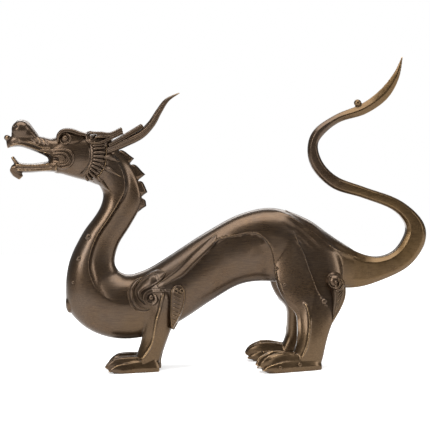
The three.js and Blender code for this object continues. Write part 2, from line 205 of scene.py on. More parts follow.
# Tail: inner x, inner z, outer x, outer z, half width, share of the section that its bevels take
tailRows = [
    [62, 141, 66, 96, 13, 0.3],
    [82, 131.8, 80, 80, 13.5, 0.28],
    [100, 118.8, 97, 72, 13, 0.25],
    [124, 102.5, 122, 69.5, 11.5, 0.22],
    [144, 96.5, 146, 75, 9.5, 0.2],
    [160.5, 102, 172.5, 87.5, 8.5, 0.2],
    [170.5, 117, 187.6, 108, 8, 0.2],
    [169, 128.5, 186, 128, 7.5, 0.2],
    [157, 140, 165.5, 147.5, 7, 0.2],
    [131, 150.5, 134, 160, 6.5, 0.2],
    [105, 159.5, 110, 169.5, 6, 0.2],
    [87.5, 177, 97, 182, 5.6, 0.22],
    [83, 196, 92, 197, 5.2, 0.25],
    [89.5, 213, 97, 207.5, 4.8, 0.3],
    [109, 226, 112.5, 219, 4.2, 0.38],
    [132, 235, 136.5, 226, 3.6, 0.45],
    [149, 247, 156, 239, 3, 0.45],
    [162, 262, 167, 257, 2, 0.45],
    [169.8, 277, 171, 276.6, 0.5, 0.45],
]


def tailRing(row):
    innerX, innerZ, outerX, outerZ, halfWidth, bevel = row
    corners = np.array([[bevel, 1], [1 - bevel, 1], [1, 1 - 2 * bevel], [1, 2 * bevel - 1],
                        [1 - bevel, -1], [bevel, -1], [0, 2 * bevel - 1], [0, 1 - 2 * bevel]])
    share = corners[:, 0]
    return np.stack([outerX + (innerX - outerX) * share, halfWidth * corners[:, 1],
                     outerZ + (innerZ - outerZ) * share], 1)


# Head: top x, top z, bottom x, bottom z, half width
skullRows = [
    [-152, 210, -151, 194, 8],
    [-145, 210.5, -146, 180.5, 12],
    [-136, 213, -138, 178, 14.5],
    [-126, 215, -127, 174.5, 16],
    [-115, 215, -115, 171, 16.5],
    [-103, 213, -105, 167.5, 15.5],
    [-91, 207, -98, 172, 12],
    [-86, 196, -91, 183, 6],
]
upperJawRows = [
    [-187, 208.5, -186, 202, 3.5],
    [-182, 213, -182, 203, 7],
    [-174, 215, -174.5, 203.2, 9],
    [-165, 213.5, -165, 200, 9.5],
    [-156, 212, -156, 196, 9.5],
    [-147, 210, -148, 192, 11],
    [-138, 210, -140, 190, 13],
]
lowerJawRows = [
    [-182.5, 187, -184.5, 183, 3.5],
    [-177, 189, -177, 180.5, 6],
    [-166, 188, -166, 180, 8],
    [-155, 189, -155, 180.5, 10],
    [-142, 191, -143, 180, 13],
]
noseRows = [
    [-182, 217, -182, 207, 6],
    [-177, 226.5, -177, 205, 9],
    [-168.5, 226.5, -170, 204, 9.5],
    [-162.5, 219.5, -165, 204, 8.5],
    [-157, 211.5, -159, 203, 6],
]

# Legs, in level slices: z, front x, rear x, ridge place, inner, middle and outer distance
foreLegRows = [
    [88, -64, -52, 0.55, 6, 10, 17],
    [78, -67, -46, 0.6, 6, 12, 23],
    [66, -67.5, -41.5, 0.6, 6, 14, 25.5],
    [52, -68.5, -43, 0.48, 6, 15.5, 25],
    [38, -69.5, -45, 0.425, 5.5, 15, 24],
    [26, -72, -49.5, 0.45, 4.5, 13.5, 22.5],
    [14, -76, -54, 0.27, 4, 12.5, 21.5],
    [4, -78, -56.5, 0.4, 4, 12, 19.5],
]
hindLegRows = [
    [130, 56, 84, 0.5, 4, 8, 12],
    [118, 44, 96, 0.5, 5, 12, 20],
    [104, 47, 106, 0.48, 6, 14, 25],
    [88, 48.5, 110, 0.5, 7, 17, 29],
    [74, 51, 110, 0.54, 9, 21, 32.5],
    [62, 56.5, 108, 0.5, 12, 25, 36],
    [50, 66, 103, 0.35, 17, 29, 39],
    [36, 67, 96.5, 0.32, 21, 32, 41.5],
    [24, 66, 92.5, 0.3, 23, 33.5, 43],
    [12, 61, 89.5, 0.28, 23.5, 34, 43.5],
    [4, 59, 87, 0.3, 24, 34, 42],
]
legSet = {"roundness": 0.55, "farHindShift": -2.5, "farForeShift": 3, "farFeatherDrop": 5}


def legRing(row, shift, halfSides=24):
    z, front, rear, ridge, inner, middle, outer = row
    j = np.arange(2 * halfSides)
    outerFace = j <= halfSides
    swing = np.where(outerFace, j, 2 * halfSides - j) / halfSides
    u = (1 - np.cos(math.pi * swing)) / 2
    place = np.where(u < 0.5, u * 2 * ridge, ridge + (u - 0.5) * 2 * (1 - ridge))
    rise = np.where(outerFace, np.minimum(u, 1 - u) * 2, np.sin(math.pi * swing))
    y = middle + np.where(outerFace, outer - middle, inner - middle) * np.clip(rise, 0,
                                                                               1) ** legSet["roundness"]
    return np.stack([front + (rear - front) * place + shift, -y, np.full(len(j), z)], 1)


def leg(rows, shift):
    return skin([legRing(row, shift) for row in sampled(rows, 8)])


# Feet, from the heel to the claws: place along the foot, height, half width, depth of the grooves
footSet = {
    "fore": {"length": 49, "out": 4, "heel": (-56, 11.5), "toes": 4, "rows": [
        [0, 9, 6, 0], [0.12, 13, 8, 0], [0.42, 14.5, 9, 0.1], [0.62, 14.5, 10, 0.22],
        [0.8, 13.5, 10.5, 0.34], [0.93, 9.5, 9.5, 0.4], [1, 5, 7.5, 0.3]]},
    "hind": {"length": 60.5, "out": 13, "heel": (86.5, 29), "toes": 5, "rows": [
        [0, 9, 7, 0], [0.12, 14, 10, 0], [0.42, 16.8, 11.5, 0.14], [0.62, 18.8, 12.5, 0.24],
        [0.8, 17.3, 13, 0.32], [0.93, 12.8, 12, 0.38], [0.99, 7, 9.5, 0.28]]},
    "spread": 0.07, "arch": 0.72, "clawCut": 0.3, "soleTuck": 0.9, "valley": 2.2, "lines": 96,
}


def foot(kind, shift):
    s = footSet[kind]
    lines = footSet["lines"]
    i = np.arange(lines + 1)
    across = -np.cos(math.pi * i / lines)
    wave = 0.5 + 0.5 * np.cos(2 * math.pi * s["toes"] * i / lines)
    valley = wave ** footSet["valley"]
    rings = []
    for place, high, wide, groove in sampled(s["rows"], 8):
        cut = 1 - groove * valley
        arch = (1 - across ** 4 * footSet["arch"]) * cut
        fall = place ** 2 * (footSet["spread"] * across ** 2 + (1 - cut) * footSet["clawCut"])
        back = np.stack([-s["length"] * (place - fall), wide * across, high * arch], 1)
        tuck = [1, footSet["soleTuck"], 0]
        rings.append(np.concatenate([[back[0] * tuck], back, [back[-1] * tuck]]))
    points, faces = skin(rings)
    turn = math.radians(s["out"])
    x, y = s["heel"]
    along, aside, up = points.T
    turned = [along * math.cos(turn) - aside * math.sin(turn) + x + shift,
              along * math.sin(turn) + aside * math.cos(turn) - y, up]
    return np.stack(turned, 1), faces


def foreSide(shift):
    return [leg(foreLegRows, shift), foot("fore", shift)]


def hindSide(shift):
    return [leg(hindLegRows, shift), foot("hind", shift)]


# Fused lumps: x, distance from the middle, z and radii; and hooks, with rows as a strap has
lumpSet = {
    "paired": {"nostril": (-173.5, 4.5, 218.6, 8.4, 6.5, 8),
               "eyeSocket": (-128, 8.5, 208.5, 13, 6.5, 8.2),
               "earRoot": (-106, 9, 206, 13, 6.5, 7.5)},
    "single": {"noseTip": (-186, 0, 211.5, 2.9, 5, 2.8), "tailBead": (129, 0, 236, 3.4),
               "breastPad": (-134.3, 3, 62, 3.8, 7, 8.5)},
    "hooks": {"tongue": [[-171, 185, 0, 2, 5], [-178, 188.5, 0, 2, 4.5], [-182, 194.5, 0, 1.5, 2.5]],
              "chin": [[-184, 183, 0, 1.5, 3], [-179.5, 180.5, 0, 4, 4], [-174.5, 175.5, 0, 2.6, 2.4]]},
}


def headSide():
    return [ball(*lump) for lump in lumpSet["paired"].values()]


def middleForms():
    return [
        skin([bodyRing(row, 48) for row in sampled(trunkRows, 8)]),
        skin([tailRing(row) for row in sampled(tailRows, 12)]),
        plainSkin(skullRows, 32, 2.3), plainSkin(upperJawRows, 24, 2.6),
        plainSkin(lowerJawRows, 24, 2.8), plainSkin(noseRows, 24, 2),
        *[strap(rows) for rows in lumpSet["hooks"].values()],
        *[ball(*lump) for lump in lumpSet["single"].values()],
    ]


def meshFrom(name, points, faces):
    mesh = bpy.data.meshes.new(name)
    mesh.from_pydata((np.asarray(points) * mm).tolist(), [], faces)
    mesh.validate()
    item = bpy.data.objects.new(name, mesh)
    bpy.context.collection.objects.link(item)
    return item


def baked(item):
    depsgraph = bpy.context.evaluated_depsgraph_get()
    mesh = bpy.data.meshes.new_from_object(item.evaluated_get(depsgraph))
    item.modifiers.clear()
    item.data = mesh
    return item


castSet = {"voxel": 0.55, "triangles": 190000, "softening": 2}


def triangles(item):
    return sum(len(p.vertices) - 2 for p in item.data.polygons)


def joinedShells(shells):
    points, faces, base = [], [], 0
    for shellPoints, shellFaces in shells:
        points.append(shellPoints)
        faces.extend([[base + k for k in f] for f in shellFaces])
        base += len(shellPoints)
    return np.concatenate(points), faces


def castBody():
    farLegs = foreSide(legSet["farForeShift"]) + hindSide(legSet["farHindShift"])
    shells = [
        *middleForms(), *headSide(), *[mirrored(s) for s in headSide()],
        *foreSide(0), *hindSide(0), *[mirrored(s) for s in farLegs],
    ]
    item = meshFrom("dragonBody", *joinedShells(shells))
    remesh = item.modifiers.new("oneSkin", "REMESH")
    remesh.mode = "VOXEL"
    remesh.voxel_size = castSet["voxel"] * mm
    baked(item)
    print("skin", len(item.data.vertices), "points")
    return item


def readPoints(mesh):
    flat = np.empty(len(mesh.vertices) * 3)
    mesh.vertices.foreach_get("co", flat)
    return flat.reshape(-1, 3) / mm


def writePoints(mesh, points):
    mesh.vertices.foreach_set("co", (points * mm).ravel())
    mesh.update()


def readNormals(mesh):
    flat = np.empty(len(mesh.vertices) * 3)
    mesh.vertex_normals.foreach_get("vector", flat)
    return flat.reshape(-1, 3)


def readEdges(mesh):
    flat = np.empty(len(mesh.edges) * 2, int)
    mesh.edges.foreach_get("vertices", flat)
    return flat.reshape(-1, 2)


def neighbourMean(values, edges):
    count = len(values)
    a, b = edges[:, 0], edges[:, 1]
    degree = np.bincount(a, minlength=count) + np.bincount(b, minlength=count)
    total = [np.bincount(a, values[b, k], count) + np.bincount(b, values[a, k], count)
             for k in range(values.shape[1])]
    return np.stack(total, 1) / np.maximum(degree, 1)[:, None]


# Each point drawn towards its neighbours, or only where a mask says so
def softened(points, edges, rounds, weight=0.5, mask=None):
    if mask is None:
        for _ in range(rounds):
            points = points + (neighbourMean(points, edges) - points) * weight
        return points
    close = (mask[edges] > 0).any(1)
    used, local = np.unique(edges[close], return_inverse=True)
    local = local.reshape(-1, 2)
    part, share = points[used], (mask[used] * weight)[:, None]
    for _ in range(rounds):
        part = part + (neighbourMean(part, local) - part) * share
    points = points.copy()
    points[used] = part
    return points


# A line drawn on the side of the body: the distance from it, the side (+ is left of the way that
# it runs) and the place along it
def lineThrough(path, spacing=1.0):
    path = np.asarray(path, float)
    length = np.linalg.norm(np.diff(path, axis=0), axis=1).sum()
    return rowAt(path, np.linspace(0, len(path) - 1, max(int(length / spacing), 8)))


def toLine(flat, line):
    start, run = line[:-1], np.diff(line, axis=0)
    length = (run ** 2).sum(1)
    best = np.full(len(flat), 1e9)
    side = np.zeros(len(flat))
    place = np.zeros(len(flat))
    for k in range(len(run)):
        away = flat - start[k]
        share = np.clip((away @ run[k]) / length[k], 0, 1)
        gap = np.linalg.norm(away - share[:, None] * run[k], axis=1)
        closer = gap < best
        best[closer] = gap[closer]
        side[closer] = np.sign(run[k, 0] * away[closer, 1] - run[k, 1] * away[closer, 0])
        place[closer] = (k + share[closer]) / len(run)
    return best, side, place


def ends(place, fade):
    return np.clip(place / fade, 0, 1) * np.clip((1 - place) / fade, 0, 1)


def rise(value, start, full):
    return np.clip((value - start) / (full - start), 0, 1)


# Shapes across a line: how far the skin moves out at a distance from it
def ridge(height, width):
    return lambda gap, side, place: height * np.clip(1 - gap / width, 0, 1) ** 1.5


def groove(depth, width):
    return lambda gap, side, place: -depth * np.clip(1 - gap / width, 0, 1) ** 1.2


def dip(depth, width):
    return lambda gap, side, place: -depth * np.exp(-(gap / width) ** 2)


panelEdge = {"soft": 0.7, "start": 0.3}


def panel(depths, fade, inside, lip, lipWidth):
    def shape(gap, side, place):
        within = np.clip(side * inside * gap / panelEdge["soft"] + panelEdge["start"], 0, 1)
        depth = np.interp(place, np.linspace(0, 1, len(depths)), depths)
        return lip * np.exp(-gap / lipWidth) * (1 - within) - depth * within * np.exp(-gap / fade)
    return shape


# Lines carved into the casting, in this order: reach is how far a line acts, least how far out
# from the middle it starts, fade how long its ends are, and leg the leg that it follows
carveSet = {
    "flank": {
        "reach": 34, "least": 6, "fade": 0.06,
        "shape": panel((1.6, 1.8, 1.5, 1.5, 2.6, 1.4, 0.4), 10, -1, 0.6, 2.5),
        "paths": [
            [(-44.6, 80.9), (-33, 86.3), (-21.5, 96.6), (-10, 107.7), (-2, 116.5), (9, 119.5),
             (18.5, 120.8), (26, 122.3), (33.5, 121.7), (40, 117.6), (45.3, 110), (48, 101.7),
             (49.4, 92.5), (51.5, 82), (54.5, 72), (58, 64)],
        ],
    },
    "flankFold": {
        "reach": 12, "least": 8, "fade": 0.3,
        "shape": dip(1.8, 4.5),
        "paths": [
            [(41, 112), (42.5, 103), (43, 95), (43.5, 85), (44, 79)],
        ],
    },
    "haunchFold": {
        "reach": 24, "least": 6, "fade": 0.22,
        "shape": panel((1.2, 2.6, 3.2, 3, 2.2), 8, 1, 0.5, 5),
        "paths": [
            [(66, 124), (69.5, 116), (75.2, 102), (79.5, 88), (84.5, 74), (89, 64), (94, 56)],
        ],
    },
    "haunchPlane": {
        "reach": 16, "least": 6, "fade": 0.3,
        "shape": dip(1.2, 6),
        "paths": [
            [(73, 117), (80, 105), (85.5, 92), (90, 80), (92, 70)],
        ],
    },
    "haunchStreaks": {
        "reach": 6, "least": 2, "fade": 0.4,
        "shape": groove(0.9, 3.4),
        "paths": [
            [(56, 131), (66, 123.5), (76, 116), (84, 107.5), (89.5, 100)],
            [(60, 134), (75, 124.5), (85, 115), (91, 107)],
            [(64, 119), (71, 113), (77, 106)],
        ],
    },
    "backEdge": {
        "reach": 5, "least": 0.5, "fade": 0.2,
        "shape": ridge(1.1, 3),
        "paths": [
            [(50, 141.2), (60, 137.5), (69.4, 131.8), (85.9, 119.6), (102.3, 106.3), (119, 98.6),
             (132, 95.8)],
        ],
    },
    "foreRidge": {
        "reach": 4, "least": 8, "fade": 0.08, "leg": "fore",
        "shape": ridge(1.2, 2.0),
        "paths": [
            [(-50.5, 73), (-52.2, 67), (-53.7, 62), (-55, 56), (-57.6, 48), (-59.3, 39), (-61.6, 28),
             (-65.9, 19.4), (-71, 13.4), (-77, 13.4)],
        ],
    },
    "foreFront": {
        "reach": 5, "least": 6, "fade": 0.2, "leg": "fore",
        "shape": groove(0.5, 2.5),
        "paths": [
            [(-66, 60), (-67.5, 50), (-68.5, 38), (-71, 28), (-76, 20), (-83, 17)],
        ],
    },
    "hindRidge": {
        "reach": 4, "least": 16, "fade": 0.1, "leg": "hind",
        "shape": ridge(1.2, 2.0),
        "paths": [
            [(73, 61), (76.5, 53.5), (77.2, 42), (76.2, 32), (73.5, 20), (69, 12.5)],
        ],
    },
    "hindFront": {
        "reach": 4, "least": 16, "fade": 0.1, "leg": "hind",
        "shape": ridge(1.1, 1.8),
        "paths": [
            [(57, 60.5), (62.6, 55.6), (67, 50), (68, 43.5), (67.6, 31), (64, 21), (60, 18)],
        ],
    },
    "tendons": {
        "reach": 3, "least": 16, "fade": 0.2, "leg": "hind",
        "shape": ridge(0.7, 1.5),
        "paths": [
            [(60, 19), (52, 19.6), (44, 18.4), (36, 13.5)],
            [(64, 15.5), (54, 16.2), (45, 14.6), (37, 10)],
        ],
    },
    "lips": {
        "reach": 3, "least": 2, "fade": 0.08,
        "shape": ridge(1.0, 1.7),
        "paths": [
            [(-184, 204.2), (-176, 206), (-166, 203.2), (-156, 199.4), (-150, 198)],
            [(-176, 209), (-165, 206.6), (-155, 202.3), (-147, 201)],
            [(-180, 187.6), (-171, 186.6), (-160, 186.4), (-148, 187.4)],
            [(-178.4, 183), (-170, 182.6), (-160, 182.4), (-146, 182.8)],
        ],
    },
    "lipGrooves": {
        "reach": 3, "least": 2, "fade": 0.08,
        "shape": groove(0.8, 1.4),
        "paths": [
            [(-180, 207.6), (-172, 208), (-164, 204.8), (-155, 200.8)],
            [(-179, 185.2), (-170, 184.7), (-160, 184.5), (-147, 185.2)],
        ],
    },
    "wrinkles": {
        "reach": 2.5, "least": 1, "fade": 0.3,
        "shape": groove(0.9, 1.5),
        "paths": [
            [(-160.5, 212), (-157, 205.5)], [(-157, 211.5), (-153.5, 204.5)],
            [(-153.2, 211), (-149.8, 204.5)], [(-165, 213), (-160.5, 207)],
        ],
    },
    "mouth": {
        "reach": 5, "least": 4, "fade": 0.2,
        "shape": groove(2.4, 2.8),
        "paths": [
            [(-153, 194), (-147, 192.6), (-140.5, 191.6)],
        ],
    },
    "nostril": {
        "reach": 4, "least": 1, "fade": 0.2,
        "shape": groove(1.6, 2.4),
        "paths": [
            [(-180.6, 222.6), (-178.6, 221.8), (-177.2, 223.2)],
        ],
    },
    "ruffFront": {
        "reach": 3, "least": 4, "fade": 0.08,
        "shape": groove(1.2, 1.8),
        "paths": [
            [(-112.6, 205.5), (-112.2, 197), (-113, 189), (-117, 182), (-121.5, 177)],
        ],
    },
}


def carve(points, normals, path, s, sign, shift):
    line = lineThrough(path) + [shift, 0]
    low, high = line.min(0) - s["reach"], line.max(0) + s["reach"]
    flat = points[:, [0, 2]]
    near = (flat > low).all(1) & (flat < high).all(1) & (points[:, 1] * sign > s["least"])
    index = np.nonzero(near)[0]
    gap, side, place = toLine(flat[index], line)
    facing = np.clip(normals[index, 1] * sign * 2 + 0.3, 0, 1)
    move = s["shape"](gap, side, place) * ends(place, s["fade"]) * facing
    points[index] += normals[index] * move[:, None]


# The haunch is smoothed where each value lies past its start, in full past its second number
haunchSet = {
    "rounds": 120, "upperZ": (108, 118), "upperX": (34, 42), "rearZ": (76, 92), "rearX": (58, 70),
    "endX": (118, 104), "endZ": (141, 134), "across": (0, 5),
}


def haunchMask(points):
    s = haunchSet
    x, z = points[:, 0], points[:, 2]
    upper = rise(z, *s["upperZ"]) * rise(x, *s["upperX"])
    rear = rise(z, *s["rearZ"]) * rise(x, *s["rearX"])
    aside = rise(np.abs(points[:, 1]), *s["across"])
    return np.maximum(upper, rear) * rise(x, *s["endX"]) * aside * rise(z, *s["endZ"])


def sculpt(item):
    mesh = item.data
    edges = readEdges(mesh)
    points = softened(readPoints(mesh), edges, castSet["softening"])
    points = softened(points, edges, haunchSet["rounds"], 0.5, haunchMask(points))
    writePoints(mesh, points)
    normals = readNormals(mesh)
    farShift = {"fore": legSet["farForeShift"], "hind": legSet["farHindShift"]}
    for s in carveSet.values():
        for path in s["paths"]:
            carve(points, normals, path, s, -1, 0)
            carve(points, normals, path, s, 1, farShift.get(s.get("leg"), 0))
    writePoints(mesh, points)
    print("lines carved")


def trim(item, most):
    count = triangles(item)
    if count > most:
        cut = item.modifiers.new("fewer", "DECIMATE")
        cut.ratio = most / count
        baked(item)
    print(item.name, triangles(item), "triangles")


body = castBody()
sculpt(body)
surface = {"tree": BVHTree.FromObject(body, bpy.context.evaluated_depsgraph_get())}
trim(body, castSet["triangles"])


# What lies on the casting's skin: a band draped over it, with its own cross-section
outside = 90  # rays towards the skin start this far from the middle


def skinOut(x, z, side, fallback):
    start = Vector((x, side * outside, z)) * mm
    hit = surface["tree"].ray_cast(start, Vector((0, -side, 0)))
    return fallback if hit[0] is None else hit[0].y / mm


# Place across the band from -1 to 1, and height there from 0 to 1
profiles = {
    "rimmed": [
        (-1, 0), (-0.95, 0.7), (-0.84, 1), (-0.68, 0.85), (-0.5, 0.45), (-0.2, 0.28), (0.2, 0.28),
        (0.5, 0.45), (0.68, 0.85), (0.84, 1), (0.95, 0.7), (1, 0)],
    "peaked": [
        (-1, 0), (-0.9, 0.28), (-0.5, 0.62), (-0.12, 0.96), (0, 1), (0.12, 0.96), (0.5, 0.62),
        (0.9, 0.28), (1, 0)],
    "round": [
        (-1, 0), (-0.9, 0.45), (-0.7, 0.75), (-0.35, 0.95), (0, 1), (0.35, 0.95), (0.7, 0.75),
        (0.9, 0.45), (1, 0)],
    "plume": [
        (-1, 0), (-0.96, 0.75), (-0.86, 0.98), (-0.66, 1), (-0.2, 0.8), (0.3, 0.55), (0.7, 0.42),
        (0.84, 0.62), (0.93, 0.66), (1, 0.3), (1, 0)],
    "flat": [
        (-1, 0), (-0.92, 0.75), (-0.72, 0.98), (-0.3, 0.9), (0.3, 0.9), (0.72, 0.98), (0.92, 0.75),
        (1, 0)],
}
bandSet = {"sunk": 1.6, "steps": 8, "bedded": 0.15, "follow": 2.5}


def band(rows, profile="round", side=-1, shift=0.0, steps=bandSet["steps"]):
    path = sampled(rows, steps)
    middle = np.array([skinOut(x + shift, z, side, np.nan) for x, z in path[:, :2]])
    known = ~np.isnan(middle)
    middle = np.interp(np.arange(len(middle)), np.nonzero(known)[0], middle[known])
    follow = bandSet["follow"]
    rings = []
    for (x, z, wide, high), (runX, runZ), depth in zip(path, directions(path), middle):
        outer, inner = [], []
        for across, lift in profiles[profile]:
            px, pz = x - runZ * wide * across + shift, z + runX * wide * across
            y = depth + np.clip(skinOut(px, pz, side, depth) - depth, -follow, follow)
            outer.append((px, y + side * (high * lift - bandSet["bedded"]), pz))
            inner.append((px, y - side * bandSet["sunk"], pz))
        rings.append(outer + inner[::-1])
    return skin(rings)


# Six times the volume of a shell, which is below 0 where its faces point inwards
def volume(shell):
    points, faces = shell
    total = 0.0
    for f in faces:
        a = points[f[0]]
        for k in range(1, len(f) - 1):
            total += np.dot(a, np.cross(points[f[k]], points[f[k + 1]]))
    return total


def outward(shell):
    points, faces = shell
    return shell if volume(shell) > 0 else (points, [f[::-1] for f in faces])


ornaments = []


def ornament(name, shells):
    item = meshFrom(name, *joinedShells([outward(s) for s in shells]))
    ornaments.append(item)
    print(name, triangles(item), "triangles")
    return item


# Shoulder: a leaf that curls round a boss, a band outside it, and a plume that runs up the flank.
# Each row of a band is x, z, half width and height
shoulderSet = {
    "outerBand": [
        (-69.5, 84.2, 0.8, 0.8), (-75, 80.8, 1.8, 1.6), (-79.2, 75.6, 2.3, 2), (-80.2, 70, 2.5, 2.1),
        (-79, 64.4, 2.7, 2.1), (-75, 58.6, 2.9, 2), (-69, 56.1, 2.3, 1.6), (-63.5, 56.6, 0.9, 0.9)],
    "leaf": [
        (-48.8, 89.4, 0.9, 1.2), (-53.3, 87.4, 4.3, 2.5), (-59, 84.4, 5.5, 2.8), (-64.8, 80.8, 5.2, 2.8),
        (-70.2, 77, 3.9, 2.6), (-73.3, 72.4, 2.5, 2.4), (-71.8, 66.6, 2.1, 2.2), (-67.4, 61.6, 1.1, 1.4)],
    "volute": [
        (-43.8, 73.4, 1.5, 1.2), (-49, 73.6, 1.7, 1.8), (-55, 73.7, 1.7, 2), (-60.8, 73.3, 1.8, 2.4),
        (-65.5, 71.2, 1.8, 2.6), (-67.5, 67.2, 1.8, 2.7), (-66, 63.3, 1.7, 2.6), (-62.6, 61.7, 1.6, 2.5),
        (-59.2, 63, 1.5, 2.3), (-57.6, 66.4, 1.3, 2.1), (-59.2, 69.6, 0.9, 1.8)],
    "boss": (-61.9, 67.3, 2.9, 3),
    "plume": [
        (-56.5, 77.3, 1.6, 1.6), (-46, 82.6, 3, 2.8), (-34.5, 90.2, 4.4, 3.6), (-21.6, 101.9, 5, 3.6),
        (-9.5, 112.8, 3.9, 2.9), (-2.2, 121.2, 0.8, 1)],
}


def around(centre, angles, radii, wide, high):
    rows = []
    for angle, radius in zip(np.radians(angles), radii):
        rows.append((centre[0] + radius * math.cos(angle), centre[1] + radius * math.sin(angle), wide,
                     high))
    return rows


domeSet = {"sides": 20, "levels": [(1, -0.5), (1, 0.1), (0.92, 0.42), (0.74, 0.7), (0.45, 0.92),
                                   (0.12, 1)]}


def dome(x, z, radius, high, side=-1, shift=0.0):
    y = skinOut(x + shift, z, side, 0.0)
    sides = domeSet["sides"]
    angle = 2 * math.pi * np.arange(sides) / sides
    rings = []
    for share, lift in domeSet["levels"]:
        reach = radius * share
        rings.append(np.stack([
            x + shift + reach * np.cos(angle), np.full(sides, y + side * high * lift),
            z + reach * np.sin(angle),
        ], 1))
    return skin(rings)


def shoulder(side, shift):
    s = shoulderSet
    return [
        band(s["outerBand"], "rimmed", side), band(s["leaf"], "rimmed", side),
        band(s["volute"], "flat", side, shift), dome(*s["boss"], side, shift),
        band(s["plume"], "plume", side),
    ]


# The near side is -y; on the far side the legs stand a little ahead or behind
bothSides = (
    {"side": -1, "fore": 0.0, "hind": 0.0, "drop": 0.0},
    {"side": 1, "fore": legSet["farForeShift"], "hind": legSet["farHindShift"],
     "drop": legSet["farFeatherDrop"]},
)
ornament("shoulderScrolls", [shell for s in bothSides for shell in shoulder(s["side"], s["fore"])])


# Head: brow, eyes, ears, horns and the scrolls at the corners of the mouth
headSet = {
    "mouthScrolls": [
        [(-157, 200.6, 0.7, 0.8), (-148.5, 199.6, 1.2, 1.5), (-140.5, 200.2, 1.4, 1.9),
         (-133.4, 199.9, 1.5, 2.1), (-129, 196.6, 1.5, 2.2), (-127.8, 190.8, 1.5, 2.2),
         (-131.4, 185.4, 1.4, 2), (-138, 183.6, 1.2, 1.7), (-143.6, 185.8, 0.8, 0.9)],
        [(-154, 197.6, 0.7, 0.8), (-147, 196.7, 1.1, 1.5), (-138.5, 197.2, 1.3, 1.9),
         (-133.3, 195.4, 1.3, 2), (-131.3, 191.2, 1.3, 2), (-134.4, 187.2, 1.2, 1.8),
         (-139.8, 186.6, 0.9, 1.3)],
        [(-150, 194.8, 0.6, 0.8), (-143.5, 194.3, 1, 1.6), (-138.3, 194.4, 1.1, 1.8),
         (-135.2, 192.3, 1.1, 1.8), (-136.3, 189.4, 1, 1.6), (-140, 188.9, 0.7, 1)],
    ],
    "eye": (-134.6, 210), "eyeBall": (3.1, 2.6), "pupil": (1.2, 3.1), "eyeRing": (4.9, 1.1, 1.8),
    "brow": [
        (-141, 207, 12, 1, 1.8), (-140.4, 212.4, 12.5, 1.8, 3), (-136.4, 216.4, 12, 2.1, 4),
        (-129.5, 216.6, 12, 2.2, 4.2), (-122.5, 214.2, 12.5, 2.1, 3.8), (-116, 212.6, 13, 1.4, 3)],
    "earScroll": [
        (-107.8, 206.2, 1.1, 1.6), (-110.5, 205.4, 1.2, 1.8), (-114.3, 206.8, 1.3, 2),
        (-116, 210.6, 1.3, 2), (-114, 214.2, 1.3, 2), (-110, 214.6, 1.2, 2), (-107.4, 212.3, 1.1, 1.8),
        (-107.6, 209.6, 0.9, 1.4)],
    "earBoss": (-111.3, 210.3, 2.2, 2.4),
    "earStrands": [
        [(-112, 214.6, 14.5, 0.9, 2.2), (-103, 213.9, 15.5, 1.3, 2.6), (-94, 213.2, 16, 1.3, 2.4),
         (-84, 217.6, 16.5, 1.2, 2)],
        [(-108, 210.5, 15.5, 0.8, 2), (-101, 210.8, 16.2, 1.2, 2.6), (-93, 211.6, 16.3, 1.2, 2.3),
         (-83.6, 215.7, 16.5, 1.1, 1.9)],
        [(-112, 205.2, 15.5, 0.9, 1.8), (-104, 205.6, 16.3, 1.3, 2.6), (-96, 208.5, 16.6, 1.3, 2.4),
         (-83.2, 213.8, 16.5, 1.1, 1.8)],
    ],
    "horn": [
        (-104, 196, 9, 3.8, 4.4), (-84, 204.1, 13, 3.9, 3.9), (-68, 211.2, 16, 3.5, 3.3),
        (-57.5, 221, 17.5, 2.9, 2.8), (-50.5, 232, 18, 2.2, 2.1), (-43, 242, 18, 1.5, 1.5),
        (-32.5, 248, 17.5, 0.35, 0.4)],
    "spur": [(-96, 203, 13, 1.6, 3), (-80, 211.4, 15, 1.9, 2.6), (-65.5, 219.7, 16.5, 1.9, 2.2)],
    "flutes": {"brow": 0.12, "ear": 0.1, "horn": 0.3, "spur": 0.15}, "fluteWidth": 0.28,
}


# A strap with a groove along its outer and its inner face
def fluted(rows, flute, square=2.0, steps=10, sides=28):
    points, faces = strap(rows, steps, sides, square)
    path = sampled(rows, steps)
    middle = np.repeat(np.stack([path[:, 0], -path[:, 2], path[:, 1]], 1), sides, 0)
    angle = np.tile(2 * math.pi * np.arange(sides) / sides, len(path))
    dent = 0
    for place in (-math.pi / 2, math.pi / 2):
        turned = np.angle(np.exp(1j * (angle - place)))
        dent = dent + flute * np.exp(-(turned / headSet["fluteWidth"]) ** 2)
    wall = points[:len(middle)]
    points[:len(middle)] = middle + (wall - middle) * (1 - dent)[:, None]
    return points, faces


def onSide(shell, side):
    return shell if side < 0 else mirrored(shell)


def headPieces(side):
    s, flutes = headSet, headSet["flutes"]
    radius, wide, high = s["eyeRing"]
    circle = around(s["eye"], np.linspace(90, 450, 13), [radius] * 13, wide, high)
    return [
        *[band(rows, "round", side) for rows in s["mouthScrolls"]], band(circle, "round", side),
        dome(*s["eye"], *s["eyeBall"], side), dome(*s["eye"], *s["pupil"], side),
        onSide(fluted(s["brow"], flutes["brow"]), side),
        band(s["earScroll"], "round", side), dome(*s["earBoss"], side),
        *[onSide(fluted(rows, flutes["ear"], 2.5), side) for rows in s["earStrands"]],
        onSide(fluted(s["horn"], flutes["horn"]), side),
        onSide(fluted(s["spur"], flutes["spur"], 4), side),
    ]


ornament("headScrollsAndHorns", [shell for s in bothSides for shell in headPieces(s["side"])])

